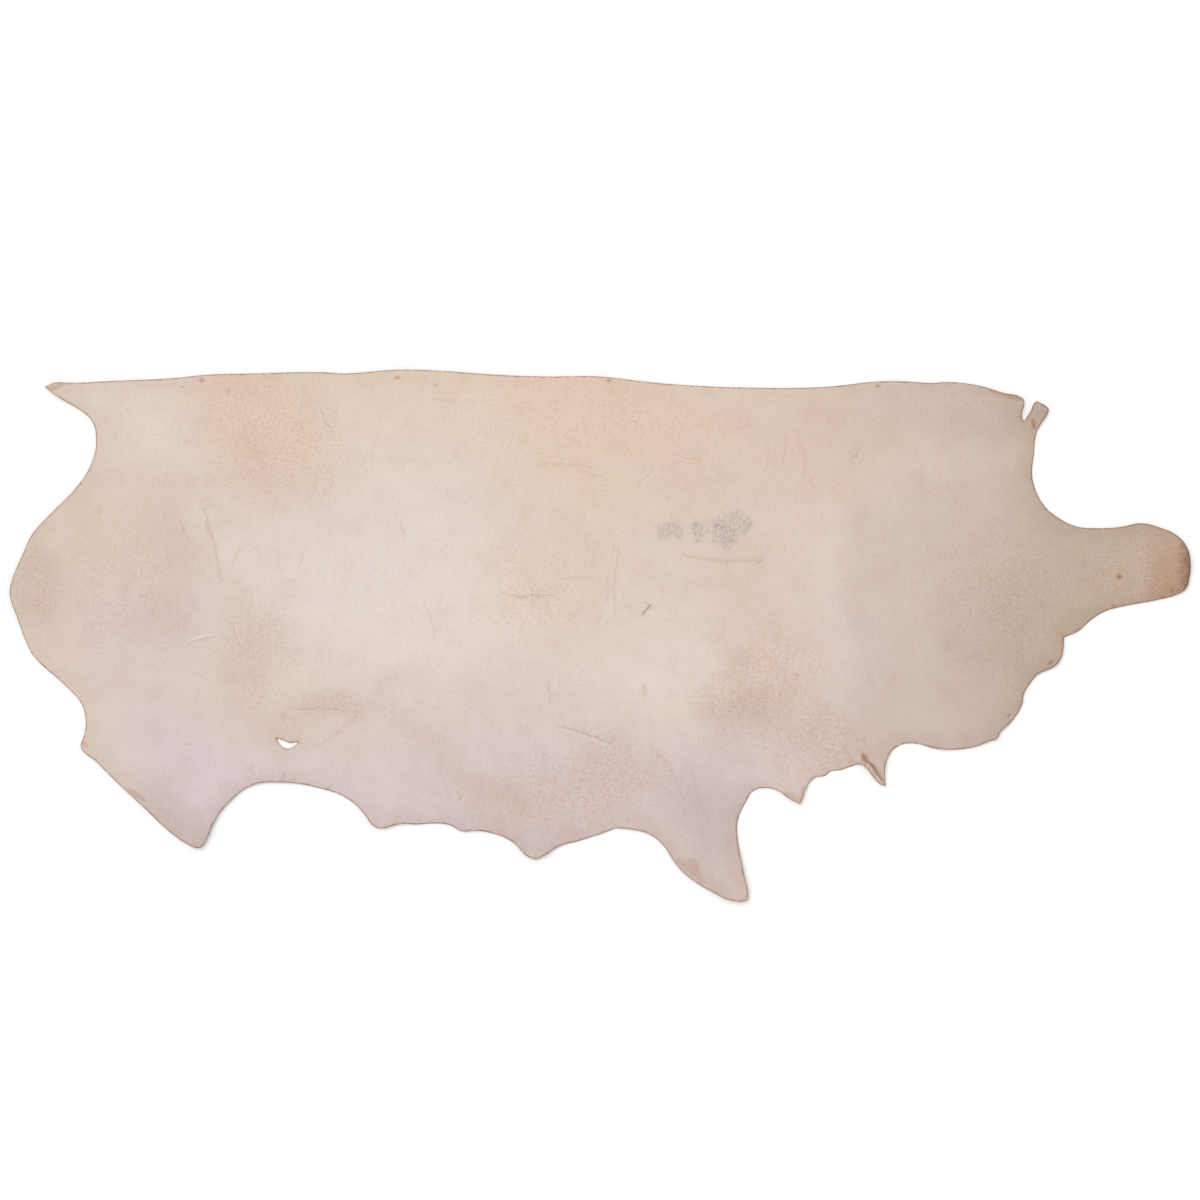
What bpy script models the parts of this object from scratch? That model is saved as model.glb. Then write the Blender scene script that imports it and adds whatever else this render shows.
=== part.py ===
"""A side of natural cattle leather, split down the backbone, lying flat with its grain side up.

+X runs along the back from rump to head, +Y from belly to backbone and +Z up from the floor.
The origin is on the floor, in the middle of the side's length and width.
Lengths below are in millimetres and headings in degrees, turned from +X towards +Y.
"""

import math
from collections import namedtuple

import bmesh
import bpy
from mathutils import Vector
from mathutils.geometry import delaunay_2d_cdt
from mathutils.kdtree import KDTree

MM = 0.001

# Thickness of the leather: firm and thick along the back, thinner towards the belly and shanks
BACK_THICKNESS = 3.0
BELLY_THICKNESS = 2.4
BACK_LINE = 420.0
BELLY_LINE = -400.0

# Spacing of the points that shape the sheet: rows of even triangles, every third point where it is flat
EDGE_STEPS = 4
FOLD_PITCH = 20.0
ROW_RISE = FOLD_PITCH * math.sqrt(0.75)
FLAT_STRIDE = 3
EDGE_CLEARANCE = 11.0
WELD = 0.01

LEATHER_COLOUR = (0.70, 0.60, 0.52, 1.0)
LEATHER_ROUGHNESS = 0.62

# The cut edge, clockwise from the tail. Each stretch starts at a sharp corner or runs on smoothly
# from the one before. Its points are (along, across).
SMOOTH = "AUTO"
CORNER = "VECTOR"
Stretch = namedtuple("Stretch", "name starts points")
CUT_EDGE = (
    Stretch("backbone over the rump", CORNER, (
        (-1165, 520), (-1143, 529.5), (-1118, 528.5), (-1020, 533), (-890, 539), (-830, 545.5),
        (-720, 548.5), (-640, 551), (-580, 551), (-535, 548.5), (-430, 556),
    )),
    Stretch("backbone to the neck", SMOOTH, (
        (-340, 554.5), (-230, 546.5), (-120, 542), (0, 542), (100, 530.5), (185, 523.5), (325, 518.5),
        (470, 520), (585, 531.5), (640, 531.5), (697, 528.5), (730, 530.5), (780, 526), (812, 519),
        (846, 508), (884, 498.5),
    )),
    Stretch("neck slit", SMOOTH, (
        (890, 492), (886, 465), (886.5, 452.5), (889.5, 449.5), (897, 458),
    )),
    Stretch("ear tab", SMOOTH, (
        (905, 471), (912, 486.5), (917, 489.5), (924, 486.5), (938.5, 478), (942, 472), (939, 463),
        (922, 437), (915.5, 421),
    )),
    Stretch("neck bay", SMOOTH, (
        (911, 380), (907, 340), (910, 318), (932.5, 271), (960, 247), (1000, 227.5), (1045, 223.5),
        (1095, 226.5),
    )),
    Stretch("head lobe", SMOOTH, (
        (1135, 234), (1175, 225), (1210, 209), (1232, 183), (1239, 152), (1237, 121), (1230.5, 98),
        (1218, 88), (1170, 73.5), (1100, 60), (1060, 49), (1029, 29.5), (1006, 8.5),
    )),
    Stretch("throat", CORNER, (
        (974, -5), (972.5, -30), (969, -46), (957, -64), (918, -84.5), (903.5, -101.5), (889.5, -124.5),
        (886.5, -145), (867.5, -178), (851, -194.5), (841, -203), (833, -218), (818, -223), (789, -234.5),
        (740, -241), (708, -239.5), (655, -227.5), (622, -236), (605.5, -255.5), (598, -289),
    )),
    Stretch("brisket point", CORNER, (
        (599.5, -317.5), (588, -313.5), (571, -295), (558, -278.5), (547, -272), (530, -275.5),
        (505, -284), (484, -287), (474, -295.5), (449, -301), (430, -328), (427, -340),
    )),
    Stretch("armpit", CORNER, (
        (420, -356), (390, -339), (380, -330.5), (350, -321.5), (322, -328), (307, -350),
        (289, -390), (288.5, -425),
    )),
    Stretch("fore shank", SMOOTH, (
        (302, -500), (310.5, -553), (306, -558), (266, -554.5), (238, -540.5), (203, -521),
        (164, -487.5), (131, -440), (105, -419.5), (72, -409.5),
    )),
    Stretch("belly", CORNER, (
        (33, -405.5), (16, -412.5), (-45, -433), (-85, -443.5), (-120, -465), (-136, -470.5),
        (-155, -463), (-180, -437), (-213, -420.5), (-265, -411), (-286, -413), (-318, -398.5),
        (-345, -396), (-385, -398), (-420, -397), (-460, -406), (-477, -400),
    )),
    Stretch("flank bay", SMOOTH, (
        (-492, -379.5), (-525, -347), (-590, -321.5), (-680, -309.5), (-732, -316.5), (-774, -347),
        (-805, -384),
    )),
    Stretch("hind shank", SMOOTH, (
        (-832, -441), (-840, -447.5), (-866, -438.5), (-904, -413), (-960, -360), (-1035, -290),
        (-1062, -262), (-1080, -249), (-1089.5, -235), (-1083, -214), (-1079, -185), (-1088, -146),
    )),
    Stretch("rump", SMOOTH, (
        (-1120, -109), (-1190, -44), (-1199, -28), (-1222, 33), (-1238, 83), (-1236, 106),
        (-1211.5, 168.5), (-1192, 211), (-1165, 242), (-1092, 318), (-1065, 366),
    )),
    Stretch("tail notch", SMOOTH, (
        (-1057.5, 410), (-1066, 448), (-1093.5, 473.5), (-1131.5, 495.5),
    )),
)

# A natural crescent hole above the flank bay, cut when the hide was flayed
FLAY_HOLE = (
    Stretch("upper lip", CORNER, ((-679, -217), (-666, -221), (-650, -227), (-640, -225.5))),
    Stretch("lower lip", CORNER, ((-632, -225.5), (-643, -235), (-658, -239.5), (-671, -232))),
)

# Where the edge lifts off the floor: each ridge starts at a place on the edge and runs inwards along
# its heading, fading out over its reach and over its spread to either side
Lift = namedtuple("Lift", "name along across heading reach spread height")
EDGE_LIFTS = (
    Lift("tail tip", -1160, 520, -25, 130, 70, 6),
    Lift("rump point", -1238, 95, 0, 170, 150, 5),
    Lift("hind bay corner", -1088, -235, 35, 120, 80, 5),
    Lift("hind shank edge", -965, -355, 45, 130, 100, 3.5),
    Lift("hind shank tip", -842, -447, 78, 190, 100, 9),
    Lift("flank bay rim", -705, -309, 90, 110, 170, 3.5),
    Lift("belly corner", -455, -405, 98, 150, 110, 6),
    Lift("belly lump", -286, -412, 95, 120, 80, 3.5),
    Lift("belly point", -136, -470, 95, 180, 110, 7),
    Lift("belly hollow", 60, -408, 88, 110, 110, 3),
    Lift("fore shank edge", 168, -492, 45, 120, 80, 3.5),
    Lift("fore shank tip", 290, -558, 100, 210, 110, 10),
    Lift("armpit point", 418, -352, 112, 140, 80, 6),
    Lift("brisket point", 598, -316, 98, 140, 60, 6),
    Lift("brisket pinch", 560, -284, 112, 80, 22, 4),
    Lift("throat edge", 735, -241, 90, 120, 110, 3),
    Lift("throat corner", 836, -215, 135, 120, 70, 5),
    Lift("cheek edge", 888, -135, 170, 100, 60, 3),
    Lift("cheek corner", 966, -52, 150, 120, 75, 5),
    Lift("head tip", 1238, 148, 180, 170, 110, 8),
    Lift("head top", 1132, 234, -90, 90, 90, 3),
    Lift("ear tab", 930, 482, -118, 95, 45, 5),
    Lift("neck corner", 886, 496, -135, 90, 60, 3.5),
    Lift("neck ripple", 618, 532, -90, 90, 110, 3),
    Lift("back ripple", -430, 556, -90, 90, 130, 3),
)


def remove_all_objects():
    for item in list(bpy.data.objects):
        bpy.data.objects.remove(item, do_unlink=True)


def leather_material():
    """Return pale undyed leather with a dull grain."""
    material = bpy.data.materials.new("natural leather")
    material.use_nodes = True
    shader = material.node_tree.nodes["Principled BSDF"]
    shader.inputs["Base Color"].default_value = LEATHER_COLOUR
    shader.inputs["Roughness"].default_value = LEATHER_ROUGHNESS
    shader.inputs["Metallic"].default_value = 0.0
    return material


def drawn_ring(name, stretches):
    """Return the points of a closed edge, anticlockwise, drawn as a smooth curve through its stretches."""
    rows = []
    for stretch in stretches:
        for index, (along, across) in enumerate(stretch.points):
            turn = stretch.starts if index == 0 else SMOOTH
            rows.append((along, across, turn))
    curve = bpy.data.curves.new(name, "CURVE")
    curve.dimensions = "2D"
    curve.fill_mode = "NONE"
    curve.resolution_u = EDGE_STEPS
    spline = curve.splines.new("BEZIER")
    spline.use_cyclic_u = True
    spline.bezier_points.add(len(rows) - 1)
    for knot, (along, across, turn) in zip(spline.bezier_points, rows):
        knot.co = (along, across, 0.0)
        knot.handle_left_type = turn
        knot.handle_right_type = turn
    drawing = bpy.data.objects.new(name, curve)
    bpy.context.scene.collection.objects.link(drawing)
    graph = bpy.context.evaluated_depsgraph_get()
    mesh = bpy.data.meshes.new_from_object(drawing.evaluated_get(graph))
    ring = [vertex.co.to_2d() for vertex in reversed(mesh.vertices)]
    bpy.data.meshes.remove(mesh)
    bpy.data.objects.remove(drawing, do_unlink=True)
    bpy.data.curves.remove(curve)
    return ring


def fade(share):
    """Fall smoothly from 1 at share 0 to 0 at share 1 and beyond."""
    return 0.5 + 0.5 * math.cos(math.pi * min(share, 1.0))


def lift_at(point):
    """Return how far the sheet's underside stands off the floor at a point."""
    total = 0.0
    for ridge in EDGE_LIFTS:
        offset = point - Vector((ridge.along, ridge.across))
        heading = math.radians(ridge.heading)
        forward = Vector((math.cos(heading), math.sin(heading)))
        ahead = abs(offset.dot(forward)) / ridge.reach
        aside = abs(offset.cross(forward)) / ridge.spread
        total += ridge.height * fade(ahead) * fade(aside)
    return total


def thickness_at(point):
    """Return the leather's thickness, which thins from the back line down to the belly line."""
    share = (BACK_LINE - point.y) / (BACK_LINE - BELLY_LINE)
    return BELLY_THICKNESS + (BACK_THICKNESS - BELLY_THICKNESS) * fade(max(share, 0.0))


def inner_points(outline):
    """Return points for the sheet's inside, close together on the lifts and sparse where it is flat."""
    low = Vector((min(point.x for point in outline), min(point.y for point in outline)))
    high = Vector((max(point.x for point in outline), max(point.y for point in outline)))
    tree = KDTree(len(outline))
    for index, point in enumerate(outline):
        tree.insert(point.to_3d(), index)
    tree.balance()
    rows = math.ceil((high.y - low.y) / ROW_RISE)
    columns = math.ceil((high.x - low.x) / FOLD_PITCH)
    points = []
    for row in range(rows):
        for column in range(-(row // 2), columns - row // 2):
            point = low + Vector(((column + 0.5 * row) * FOLD_PITCH, row * ROW_RISE))
            sparse = row % FLAT_STRIDE == 0 and column % FLAT_STRIDE == 0
            if not sparse and lift_at(point) == 0.0:
                continue
            if tree.find(point.to_3d())[2] > EDGE_CLEARANCE:
                points.append(point)
    return points


def flat_sheet(outline, hole):
    """Return a flat mesh of even triangles inside the outline and outside the hole."""
    points = outline + hole + inner_points(outline + hole)
    outline_face = list(range(len(outline)))
    hole_face = list(range(len(outline), len(outline) + len(hole)))
    result = delaunay_2d_cdt(points, [], [outline_face, hole_face], 0, WELD)
    corners, _, faces, _, _, owners = result
    leather_faces = [face for face, owner in zip(faces, owners) if owner == [0]]
    mesh = bpy.data.meshes.new("leather sheet")
    mesh.from_pydata([corner.to_3d() for corner in corners], [], leather_faces)
    work = bmesh.new()
    work.from_mesh(mesh)
    loose = [vertex for vertex in work.verts if not vertex.link_faces]
    bmesh.ops.delete(work, geom=loose, context="VERTS")
    work.to_mesh(mesh)
    work.free()
    return mesh


def leather_side(material):
    """Return the side: a thin sheet on the floor, lifted here and there along its edge."""
    outline = drawn_ring("cut edge", CUT_EDGE)
    hole = drawn_ring("flay hole", FLAY_HOLE)
    mesh = flat_sheet(outline, hole)
    side = bpy.data.objects.new("leather_side", mesh)
    side.data.materials.append(material)
    middle_x = 0.5 * (min(point.x for point in outline) + max(point.x for point in outline))
    middle_y = 0.5 * (min(point.y for point in outline) + max(point.y for point in outline))
    body = side.vertex_groups.new(name="thickness")
    for vertex in mesh.vertices:
        place = vertex.co.to_2d()
        body.add([vertex.index], thickness_at(place) / BACK_THICKNESS, "REPLACE")
        vertex.co = Vector((place.x - middle_x, place.y - middle_y, lift_at(place))) * MM
    solid = side.modifiers.new("leather thickness", "SOLIDIFY")
    solid.thickness = BACK_THICKNESS * MM
    solid.offset = 1.0
    solid.vertex_group = body.name
    solid.thickness_vertex_group = 0.0
    return side


def main():
    remove_all_objects()
    collection = bpy.data.collections.new("split leather side")
    bpy.context.scene.collection.children.link(collection)
    side = leather_side(leather_material())
    collection.objects.link(side)


main()
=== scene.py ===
"""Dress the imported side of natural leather: its grain, flesh side, cut edge, scars and soft tones.

Places on the side are in millimetres, +X along the back from rump to head and +Y from belly to
backbone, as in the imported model. Headings and turns are in degrees.
"""

import math
from collections import namedtuple

import bmesh
import bpy
import numpy as np
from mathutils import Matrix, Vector, noise
from mathutils.bvhtree import BVHTree
from mathutils.kdtree import KDTree


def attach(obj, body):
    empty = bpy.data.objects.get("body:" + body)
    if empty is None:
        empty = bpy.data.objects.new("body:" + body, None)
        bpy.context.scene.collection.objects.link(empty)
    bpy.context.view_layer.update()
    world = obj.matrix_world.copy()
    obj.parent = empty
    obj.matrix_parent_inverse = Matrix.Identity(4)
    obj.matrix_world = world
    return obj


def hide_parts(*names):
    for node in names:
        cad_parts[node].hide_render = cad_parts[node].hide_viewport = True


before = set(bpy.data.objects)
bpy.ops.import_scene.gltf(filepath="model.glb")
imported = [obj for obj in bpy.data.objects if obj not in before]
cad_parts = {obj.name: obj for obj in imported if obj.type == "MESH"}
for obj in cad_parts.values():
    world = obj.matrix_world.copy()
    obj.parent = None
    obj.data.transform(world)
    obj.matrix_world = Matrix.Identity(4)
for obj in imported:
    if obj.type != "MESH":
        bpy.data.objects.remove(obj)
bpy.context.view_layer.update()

MM = 0.001
NODE = "leather_side"

# How finely the sheet is divided, in millimetres
WELD = 0.01
CELL = 11.0
CELL_WELD = 0.25
EDGE_PITCH = 4.5
EDGE_BAND = 4.0
MARK_PITCH_SHARE = 0.45
FINEST_PITCH = 1.8
COARSEST_MARK_PITCH = 3.2
REFINE_PASSES = 4

# How the sheet is pressed flat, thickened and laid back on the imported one, in millimetres. A face is
# on the flesh side where its normal's downward part is more than STEEP.
STEEP = 0.7
FLAT_THICKNESS = 3.0
WELL_CLEAR = 60.0
SMOOTH_PASSES = 6

# How the two arrises of the cut edge are eased, in millimetres
EDGE_ROUNDING = 0.8
GRAIN_SIDE_DROP = 0.6
FLESH_SIDE_RISE = 0.3

# Gentle unevenness of the laid sheet, in millimetres
WAVE_LENGTH = 430.0
WAVE_HEIGHT = 1.6
DIMPLE_LENGTH = 70.0
DIMPLE_HEIGHT = 0.18
WOBBLE_LENGTH = 16.0
WOBBLE = 2.2

# How strongly the marks stand out, as shares of their own relief and strength, how wide their ends
# are, as a share of their middle, and how the noise breaks their colour up
MARK_RELIEF = 0.5
MARK_SHOW = 0.6
END_WIDTH = 0.55
BREAK_SIZE = 4
BREAKS = (0.35, 0.60)
WHOLE_SHARE = 0.70
BROKEN_SHARE = 0.30

GRAIN, FLESH, CUT_EDGE = range(3)

# How much brighter the studio light shows a surface than its own colour
LIGHT_GAIN = 1.09


def tint(red, green, blue):
    """Return a shader's colour from the 0 to 255 screen values that it shows in the studio light."""
    linear = [((value / 255 + 0.055) / 1.055) ** 2.4 / LIGHT_GAIN for value in (red, green, blue)]
    return (*linear, 1.0)


CREAM = tint(220, 202, 189)
PALE_CREAM = tint(230, 215, 207)
COOL_CREAM = tint(227, 213, 208)
PEACH = tint(227, 203, 180)
ORANGE = tint(223, 187, 156)
ROSE = tint(217, 192, 177)
LILAC = tint(214, 197, 199)
MAUVE = tint(199, 180, 178)
GREY_TAN = tint(208, 189, 178)
DEEP_TAN = tint(188, 169, 156)
DULL_BROWN = tint(204, 180, 166)
HEAD_TAN = tint(190, 168, 148)
HEAD_BROWN = tint(124, 88, 64)
RUSSET = tint(182, 134, 98)

# Dyes that the colour under them is multiplied by, except the rim's, which is the hide's browner edge with
# painted shade, and the cut line's, which is the cut edge's own colour with a painted shadow
CLOUD_DYE = (0.960, 0.935, 0.925)
PALE_DYE = (1.040, 1.045, 1.055)
PEACH_DYE = (1.010, 0.965, 0.905)
COOL_DYE = (1.000, 1.010, 1.040)
SPECK_DYE = (0.915, 0.870, 0.830)
FLECK_DYE = (0.790, 0.660, 0.530)
RIM_BROWN_AND_SHADE = (0.740, 0.660, 0.590)
CUT_LINE_BROWN_AND_SHADOW = (0.580, 0.380, 0.220)

# How the grain darkens towards the neck and the head, along the side and across it, in millimetres:
# partly the hide's own greyer tan and partly painted shade, where the light falls off towards the head
NECK_STEP = (470, 560)
NECK_FADE = (420, 860)
NECK_TOP = (200, 400)
NECK_STRENGTH = 0.80
HEAD_FADE = (690, 1060)
HEAD_STRENGTH = 0.80

# How far the outlines of the tones wander: the noise's size and its amount, in millimetres. With no
# seed of its own, this noise would be drawn anew from the clock in each run.
NOISE_SEED = 7
WANDERS = ((240.0, 60.0), (60.0, 24.0), (22.0, 10.0))
OVAL_CORE = 0.15

# Soft ovals of another tone, from the broadest to the smallest
Tone = namedtuple("Tone", "name along across length width turn colour strength")
TONES = (
    Tone("cool flank", -480, 110, 480, 360, 0, COOL_CREAM, 0.80),
    Tone("pale loin", -330, 60, 360, 300, 0, PALE_CREAM, 0.45),
    Tone("pale side", 80, -40, 380, 260, 0, PALE_CREAM, 0.30),
    Tone("pale loin top", -330, 400, 420, 180, 0, PALE_CREAM, 0.40),
    Tone("pale tail root", -960, 430, 170, 170, 0, PALE_CREAM, 0.40),
    Tone("lilac belly", -150, -340, 1000, 220, 0, LILAC, 0.85),
    Tone("lilac thigh", -830, -280, 360, 220, -30, LILAC, 0.85),
    Tone("lilac ribs", 150, -60, 240, 150, 0, COOL_CREAM, 0.35),
    Tone("lilac shoulder", 480, -60, 250, 260, 0, LILAC, 0.30),
    Tone("lilac brisket", 340, -250, 300, 130, 0, LILAC, 0.35),
    Tone("pinkish rump", -1100, 140, 300, 350, 0, ROSE, 0.45),
    Tone("lilac rump", -960, 20, 260, 200, 0, LILAC, 0.45),
    Tone("warm back", -150, 500, 950, 230, -3, PEACH, 0.55),
    Tone("warm rump corner", -735, 440, 230, 170, -20, ORANGE, 0.30),
    Tone("ruddy rump streak", -705, 350, 80, 110, 30, ROSE, 0.45),
    Tone("warm tail root", -980, 520, 200, 50, 0, ROSE, 0.30),
    Tone("warm back band", 20, 480, 340, 100, 0, ORANGE, 0.22),
    Tone("warm shoulder top", 330, 480, 400, 90, 0, ROSE, 0.45),
    Tone("warm back below", 40, 350, 380, 190, 0, PEACH, 0.50),
    Tone("warm ribs", -130, 150, 220, 160, 0, PEACH, 0.35),
    Tone("ruddy shoulder", 200, 345, 250, 150, 0, ROSE, 0.45),
    Tone("ruddy neck root", 480, 380, 240, 160, 0, ROSE, 0.55),
    Tone("dull neck root", 560, 460, 280, 130, 0, DULL_BROWN, 0.30),
    Tone("warm shoulder side", 300, 130, 190, 240, 0, ROSE, 0.30),
    Tone("warm shoulder streak", 300, 10, 80, 230, 0, ROSE, 0.40),
    Tone("shoulder stain", 300, -178, 125, 105, 10, DULL_BROWN, 0.65),
    Tone("stain above the shoulder stain", 300, -75, 60, 50, 0, DULL_BROWN, 0.35),
    Tone("throat stain", 380, -70, 100, 140, 0, ROSE, 0.50),
    Tone("flank stain", -741, -50, 120, 170, 0, DULL_BROWN, 0.36),
    Tone("flank streak", -588, -171, 170, 60, 10, DULL_BROWN, 0.45),
    Tone("flank diagonal shade", -440, -110, 190, 45, 33, DULL_BROWN, 0.30),
    Tone("belly diagonal shade", -330, -250, 210, 50, -35, DULL_BROWN, 0.45),
    Tone("rump stain", -900, 190, 110, 180, 0, DULL_BROWN, 0.30),
    Tone("rump fleck", -938, 53, 80, 90, 0, DULL_BROWN, 0.35),
    Tone("rump point shade", -1195, 90, 110, 130, 0, DEEP_TAN, 0.30),
    Tone("brown belly", -60, -340, 420, 130, 0, DULL_BROWN, 0.32),
    Tone("belly mottle", 56, -290, 150, 80, -20, DULL_BROWN, 0.22),
    Tone("belly mottle behind", -210, -330, 170, 90, 0, DULL_BROWN, 0.40),
    Tone("brisket mottle", 450, -220, 240, 120, 10, DULL_BROWN, 0.42),
    Tone("mauve shank", 245, -430, 190, 200, 0, MAUVE, 0.85),
    Tone("mauve thigh tip", -880, -400, 210, 120, -40, MAUVE, 0.70),
    Tone("mauve belly point", -160, -430, 260, 70, 0, MAUVE, 0.40),
    Tone("lilac lower side", -270, -145, 420, 170, 0, LILAC, 0.32),
    Tone("lower neck shade", 760, -130, 420, 250, 0, DEEP_TAN, 0.30),
    Tone("neck middle shade", 900, 120, 320, 360, 0, DEEP_TAN, 0.25),
    Tone("throat shade", 930, -70, 260, 260, 30, DEEP_TAN, 0.62),
    Tone("neck top shade", 850, 490, 360, 120, 0, DEEP_TAN, 0.42),
)

# Finishes that the marks below leave on the grain, and the colours of the painted shade, shadow and
# highlight that a few of them, said so below, lay instead
BROWN_MARK = tint(174, 126, 86)
DARK_MARK = tint(96, 78, 66)
PALE_MARK = tint(238, 228, 219)
GREY_MARK = tint(166, 155, 152)
RUDDY_MARK = tint(172, 106, 62)
FINISHES = {"brown": BROWN_MARK, "dark": DARK_MARK, "pale": PALE_MARK, "grey": GREY_MARK, "ruddy": RUDDY_MARK}

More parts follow.
